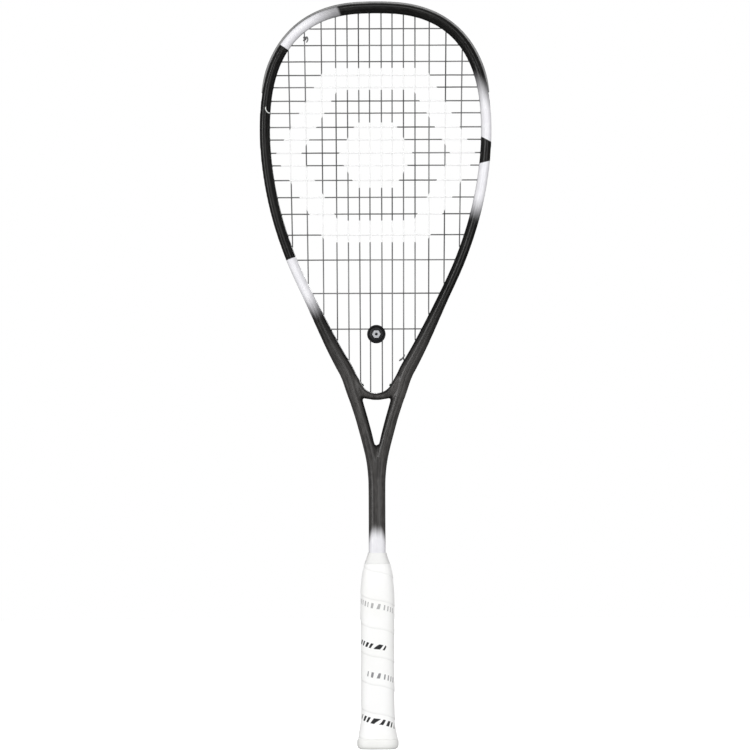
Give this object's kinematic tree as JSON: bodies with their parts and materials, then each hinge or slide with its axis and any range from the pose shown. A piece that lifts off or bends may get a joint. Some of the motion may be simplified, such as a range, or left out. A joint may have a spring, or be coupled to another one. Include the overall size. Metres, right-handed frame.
{
  "type": "squash racket",
  "caption": "Strung squash racket with a teardrop head, open throat and bridge, straight shaft, wrapped grip, flared butt cap and a sliding string damper.",
  "frame": {"origin": "centre of the flat end face of the butt cap", "axes": "+Z from the butt to the crown, string plane in XZ, front face towards -Y"},
  "size_m": [0.213, 0.0342, 0.686],
  "materials": {
    "carbon_paint": "black and white paint under satin lacquer on carbon",
    "foam": "rigid foam",
    "bumper_plastic": "moulded satin nylon",
    "grommet_plastic": "moulded nylon",
    "string": "grey braided multifilament with a white stencil",
    "pallet_foam": "moulded hard foam",
    "cap_plastic": "moulded soft plastic",
    "staple_steel": "plain wire",
    "grip_wrap": "spiral-wound synthetic leather tape",
    "finishing_wrap": "vinyl tape",
    "damper_rubber": "moulded rubber",
    "damper_badge": "printed plastic disc"
  },
  "bodies": {
    "racket": {"frame_tube": "carbon_paint", "throat_bridge": "carbon_paint", "left_leg_plug": "foam", "right_leg_plug": "foam", "bumper_guard": "bumper_plastic", "left_grommet_strip": "grommet_plastic", "right_grommet_strip": "grommet_plastic", "bridge_grommet_strip": "grommet_plastic", "main_string": "string", "cross_string": "string", "handle_pallet_front": "pallet_foam", "handle_pallet_back": "pallet_foam", "butt_cap": "cap_plastic", "cap_staple_left": "staple_steel", "cap_staple_right": "staple_steel", "grip_tape": "grip_wrap", "finishing_tape": "finishing_wrap"},
    "damper": {"damper_body": "damper_rubber", "damper_badge": "damper_badge"}
  },
  "joints": [
    {"name": "damper_slide", "type": "slide", "parent": "racket", "child": "damper", "axis": [0, 0, 1], "range_m": [-0.04, 0]}
  ]
}
